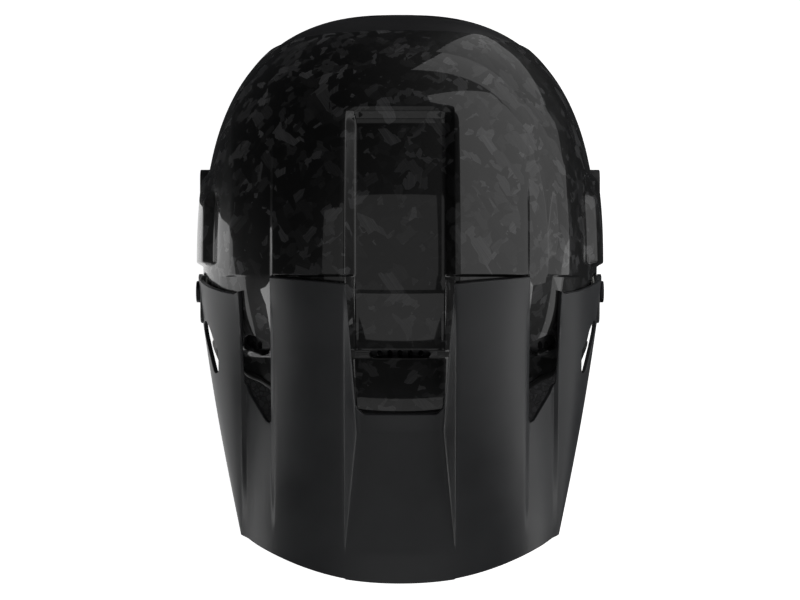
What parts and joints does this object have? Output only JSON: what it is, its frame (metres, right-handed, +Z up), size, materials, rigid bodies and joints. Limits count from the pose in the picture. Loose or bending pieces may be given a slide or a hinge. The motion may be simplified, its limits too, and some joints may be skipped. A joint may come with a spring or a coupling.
{
  "type": "mountain bike helmet",
  "caption": "Full-face mountain bike helmet with a forged carbon shell, tilting visor, foam liners, comfort pads, vents and a ratchet chin strap.",
  "frame": {"origin": "on the table under the middle of the helmet's box", "axes": "+X to the right of a viewer who looks down with the visor nearest, -Y the way the rider looks, +Z up out of the crown"},
  "size_m": [0.25, 0.3438, 0.2526],
  "materials": {
    "carbon_shell": "clear-coated forged carbon",
    "cover_plastic": "satin moulded",
    "visor_plastic": "satin moulded",
    "liner_foam": "beaded foam",
    "trim_rubber": "matte",
    "grille_plastic": "satin mesh",
    "pivot_metal": "turned",
    "screw_metal": "black anodised",
    "washer_plastic": "smooth",
    "pad_fabric": "brushed knit over foam",
    "snap_plastic": "moulded",
    "strap_webbing": "woven webbing",
    "anchor_steel": "zinc plated",
    "buckle_plastic": "moulded",
    "lever_plastic": "moulded"
  },
  "bodies": {
    "helmet": {"outer_shell": "carbon_shell", "rear_cover": "cover_plastic", "impact_liner": "liner_foam", "chin_liner": "liner_foam", "eyeport_trim": "trim_rubber", "neck_trim": "trim_rubber", "mouth_grille": "grille_plastic", "chin_grille_left": "grille_plastic", "chin_grille_right": "grille_plastic", "brow_grille": "grille_plastic", "exhaust_grille": "grille_plastic", "side_port_left": "grille_plastic", "side_port_right": "grille_plastic", "visor_nut_left": "pivot_metal", "visor_nut_right": "pivot_metal", "visor_washer_left": "washer_plastic", "visor_washer_right": "washer_plastic", "crown_pad": "pad_fabric", "brow_pad": "pad_fabric", "side_pad_left": "pad_fabric", "side_pad_right": "pad_fabric", "neck_pad": "pad_fabric", "cheek_sockets_left": "snap_plastic", "cheek_sockets_right": "snap_plastic", "strap_anchor_left": "anchor_steel", "strap_anchor_right": "anchor_steel", "strap_left": "strap_webbing", "strap_right": "strap_webbing", "strap_sleeve": "pad_fabric", "ratchet_tongue": "buckle_plastic", "buckle_base": "buckle_plastic", "buckle_pin": "anchor_steel", "buckle_spring": "anchor_steel"},
    "visor": {"visor": "visor_plastic", "visor_bumper_left": "trim_rubber", "visor_bumper_right": "trim_rubber"},
    "visor_screw_left": {"visor_screw_left": "screw_metal"},
    "visor_screw_right": {"visor_screw_right": "screw_metal"},
    "cheek_pad_left": {"cheek_pad_left": "pad_fabric", "cheek_studs_left": "snap_plastic"},
    "cheek_pad_right": {"cheek_pad_right": "pad_fabric", "cheek_studs_right": "snap_plastic"},
    "buckle_lever": {"buckle_lever": "lever_plastic"}
  },
  "joints": [
    {"name": "visor_tilt", "type": "hinge", "parent": "helmet", "child": "visor", "pos_m": [0, -0.0009, 0.155], "axis": [1, 0, 0], "range_deg": [0, 10]},
    {"name": "visor_screw_left_turn", "type": "hinge", "parent": "helmet", "child": "visor_screw_left", "pos_m": [-0.12, -0.0009, 0.155], "axis": [-1, 0, 0], "continuous": true},
    {"name": "visor_screw_right_turn", "type": "hinge", "parent": "helmet", "child": "visor_screw_right", "pos_m": [0.12, -0.0009, 0.155], "axis": [1, 0, 0], "continuous": true},
    {"name": "cheek_pad_left_pull", "type": "slide", "parent": "helmet", "child": "cheek_pad_left", "axis": [1, 0, 0], "range_m": [0, 0.012]},
    {"name": "cheek_pad_right_pull", "type": "slide", "parent": "helmet", "child": "cheek_pad_right", "axis": [-1, 0, 0], "range_m": [0, 0.012]},
    {"name": "buckle_lever_lift", "type": "hinge", "parent": "helmet", "child": "buckle_lever", "pos_m": [-0.038, 0.0301, 0.014], "axis": [0, -1, 0], "range_deg": [0, 38], "stiffness_Nm_per_rad": 0.05, "springref_deg": -5.73}
  ]
}
